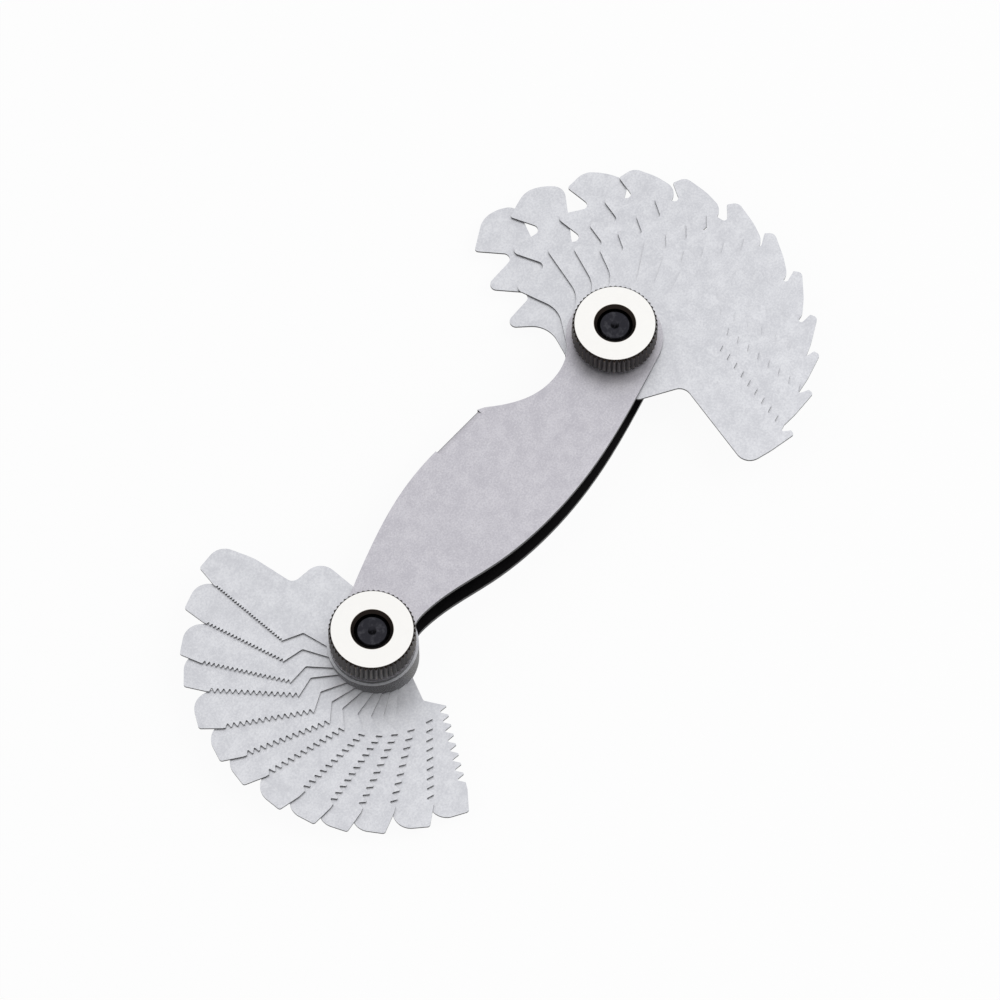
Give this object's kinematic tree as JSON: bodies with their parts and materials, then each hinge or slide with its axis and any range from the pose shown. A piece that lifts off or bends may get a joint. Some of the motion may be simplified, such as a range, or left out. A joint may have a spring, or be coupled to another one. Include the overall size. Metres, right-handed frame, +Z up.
{
  "type": "thread pitch gauge",
  "caption": "Folding thread pitch gauge: two fans of toothed steel blades on knurled pivot nuts at the ends of a folded sheet case.",
  "frame": {"origin": "on the fine set's pivot axis, at the flat face of its screw head, where the gauge rests", "axes": "+X from the fine set's pivot to the coarse set's pivot, +Z up through the stack towards the knurled nuts"},
  "size_m": [0.108, 0.0538, 0.0108],
  "materials": {
    "case_steel": "satin",
    "blade_steel": "satin",
    "screw_steel": "oiled",
    "nut_plating": "bright plated"
  },
  "bodies": {
    "case": {"case": "case_steel", "fine_pivot_screw": "screw_steel", "coarse_pivot_screw": "screw_steel", "coarse_spacer_washer": "screw_steel"},
    "fine_blade_60": {"fine_blade_60": "blade_steel"},
    "fine_blade_48": {"fine_blade_48": "blade_steel"},
    "fine_blade_40": {"fine_blade_40": "blade_steel"},
    "fine_blade_32": {"fine_blade_32": "blade_steel"},
    "fine_blade_30": {"fine_blade_30": "blade_steel"},
    "fine_blade_28": {"fine_blade_28": "blade_steel"},
    "fine_blade_26": {"fine_blade_26": "blade_steel"},
    "fine_blade_25": {"fine_blade_25": "blade_steel"},
    "fine_blade_24": {"fine_blade_24": "blade_steel"},
    "fine_blade_22": {"fine_blade_22": "blade_steel"},
    "fine_blade_20": {"fine_blade_20": "blade_steel"},
    "fine_blade_19": {"fine_blade_19": "blade_steel"},
    "fine_blade_18": {"fine_blade_18": "blade_steel"},
    "coarse_blade_16": {"coarse_blade_16": "blade_steel"},
    "coarse_blade_14": {"coarse_blade_14": "blade_steel"},
    "coarse_blade_12": {"coarse_blade_12": "blade_steel"},
    "coarse_blade_11": {"coarse_blade_11": "blade_steel"},
    "coarse_blade_10": {"coarse_blade_10": "blade_steel"},
    "coarse_blade_9": {"coarse_blade_9": "blade_steel"},
    "coarse_blade_8": {"coarse_blade_8": "blade_steel"},
    "coarse_blade_7": {"coarse_blade_7": "blade_steel"},
    "coarse_blade_6": {"coarse_blade_6": "blade_steel"},
    "coarse_blade_5": {"coarse_blade_5": "blade_steel"},
    "coarse_blade_4p5": {"coarse_blade_4p5": "blade_steel"},
    "coarse_blade_4": {"coarse_blade_4": "blade_steel"},
    "fine_nut_washer": {"fine_nut_washer": "screw_steel"},
    "fine_knurled_nut": {"fine_knurled_nut": "nut_plating"},
    "coarse_nut_washer": {"coarse_nut_washer": "screw_steel"},
    "coarse_knurled_nut": {"coarse_knurled_nut": "nut_plating"}
  },
  "joints": [
    {"name": "fine_blade_60_swing", "type": "hinge", "parent": "case", "child": "fine_blade_60", "pos_m": [0, 0, 0], "axis": [0, 0, 1], "range_deg": [-82.5, 187.5]},
    {"name": "fine_blade_48_swing", "type": "hinge", "parent": "case", "child": "fine_blade_48", "pos_m": [0, 0, 0], "axis": [0, 0, 1], "range_deg": [-96, 174]},
    {"name": "fine_blade_40_swing", "type": "hinge", "parent": "case", "child": "fine_blade_40", "pos_m": [0, 0, 0], "axis": [0, 0, 1], "range_deg": [-110.5, 159.5]},
    {"name": "fine_blade_32_swing", "type": "hinge", "parent": "case", "child": "fine_blade_32", "pos_m": [0, 0, 0], "axis": [0, 0, 1], "range_deg": [-120.5, 149.5]},
    {"name": "fine_blade_30_swing", "type": "hinge", "parent": "case", "child": "fine_blade_30", "pos_m": [0, 0, 0], "axis": [0, 0, 1], "range_deg": [-134.5, 135.5]},
    {"name": "fine_blade_28_swing", "type": "hinge", "parent": "case", "child": "fine_blade_28", "pos_m": [0, 0, 0], "axis": [0, 0, 1], "range_deg": [-146.5, 123.5]},
    {"name": "fine_blade_26_swing", "type": "hinge", "parent": "case", "child": "fine_blade_26", "pos_m": [0, 0, 0], "axis": [0, 0, 1], "range_deg": [-156.5, 113.5]},
    {"name": "fine_blade_25_swing", "type": "hinge", "parent": "case", "child": "fine_blade_25", "pos_m": [0, 0, 0], "axis": [0, 0, 1], "range_deg": [-169.5, 100.5]},
    {"name": "fine_blade_24_swing", "type": "hinge", "parent": "case", "child": "fine_blade_24", "pos_m": [0, 0, 0], "axis": [0, 0, 1], "range_deg": [-180.5, 89.5]},
    {"name": "fine_blade_22_swing", "type": "hinge", "parent": "case", "child": "fine_blade_22", "pos_m": [0, 0, 0], "axis": [0, 0, 1], "range_deg": [-190.5, 79.5]},
    {"name": "fine_blade_20_swing", "type": "hinge", "parent": "case", "child": "fine_blade_20", "pos_m": [0, 0, 0], "axis": [0, 0, 1], "range_deg": [-201.5, 68.5]},
    {"name": "fine_blade_19_swing", "type": "hinge", "parent": "case", "child": "fine_blade_19", "pos_m": [0, 0, 0], "axis": [0, 0, 1], "range_deg": [-215, 55]},
    {"name": "fine_blade_18_swing", "type": "hinge", "parent": "case", "child": "fine_blade_18", "pos_m": [0, 0, 0], "axis": [0, 0, 1], "range_deg": [-227.5, 42.5]},
    {"name": "coarse_blade_16_swing", "type": "hinge", "parent": "case", "child": "coarse_blade_16", "pos_m": [0.0551, 0, 0], "axis": [0, 0, 1], "range_deg": [-86.5, 183.5]},
    {"name": "coarse_blade_14_swing", "type": "hinge", "parent": "case", "child": "coarse_blade_14", "pos_m": [0.0551, 0, 0], "axis": [0, 0, 1], "range_deg": [-100.5, 169.5]},
    {"name": "coarse_blade_12_swing", "type": "hinge", "parent": "case", "child": "coarse_blade_12", "pos_m": [0.0551, 0, 0], "axis": [0, 0, 1], "range_deg": [-113, 157]},
    {"name": "coarse_blade_11_swing", "type": "hinge", "parent": "case", "child": "coarse_blade_11", "pos_m": [0.0551, 0, 0], "axis": [0, 0, 1], "range_deg": [-125, 145]},
    {"name": "coarse_blade_10_swing", "type": "hinge", "parent": "case", "child": "coarse_blade_10", "pos_m": [0.0551, 0, 0], "axis": [0, 0, 1], "range_deg": [-140, 130]},
    {"name": "coarse_blade_9_swing", "type": "hinge", "parent": "case", "child": "coarse_blade_9", "pos_m": [0.0551, 0, 0], "axis": [0, 0, 1], "range_deg": [-155, 115]},
    {"name": "coarse_blade_8_swing", "type": "hinge", "parent": "case", "child": "coarse_blade_8", "pos_m": [0.0551, 0, 0], "axis": [0, 0, 1], "range_deg": [-169.5, 100.5]},
    {"name": "coarse_blade_7_swing", "type": "hinge", "parent": "case", "child": "coarse_blade_7", "pos_m": [0.0551, 0, 0], "axis": [0, 0, 1], "range_deg": [-187, 83]},
    {"name": "coarse_blade_6_swing", "type": "hinge", "parent": "case", "child": "coarse_blade_6", "pos_m": [0.0551, 0, 0], "axis": [0, 0, 1], "range_deg": [-203, 67]},
    {"name": "coarse_blade_5_swing", "type": "hinge", "parent": "case", "child": "coarse_blade_5", "pos_m": [0.0551, 0, 0], "axis": [0, 0, 1], "range_deg": [-218.5, 51.5]},
    {"name": "coarse_blade_4p5_swing", "type": "hinge", "parent": "case", "child": "coarse_blade_4p5", "pos_m": [0.0551, 0, 0], "axis": [0, 0, 1], "range_deg": [-238.5, 31.5]},
    {"name": "coarse_blade_4_swing", "type": "hinge", "parent": "case", "child": "coarse_blade_4", "pos_m": [0.0551, 0, 0], "axis": [0, 0, 1], "range_deg": [-254.5, 15.5]},
    {"name": "fine_nut_washer_lift", "type": "slide", "parent": "case", "child": "fine_nut_washer", "axis": [0, 0, 1], "range_m": [0, 0.0008]},
    {"name": "fine_knurled_nut_turn", "type": "hinge", "parent": "fine_nut_washer", "child": "fine_knurled_nut", "pos_m": [0, 0, 0], "axis": [0, 0, 1], "range_deg": [0, 360]},
    {"name": "coarse_nut_washer_lift", "type": "slide", "parent": "case", "child": "coarse_nut_washer", "axis": [0, 0, 1], "range_m": [0, 0.0008]},
    {"name": "coarse_knurled_nut_turn", "type": "hinge", "parent": "coarse_nut_washer", "child": "coarse_knurled_nut", "pos_m": [0.0551, 0, 0], "axis": [0, 0, 1], "range_deg": [0, 360]}
  ],
  "couplings": [
    {"joint": "fine_knurled_nut_turn", "follows": "fine_nut_washer_lift", "rad_per_m": 7854},
    {"joint": "coarse_knurled_nut_turn", "follows": "coarse_nut_washer_lift", "rad_per_m": 7854}
  ]
}
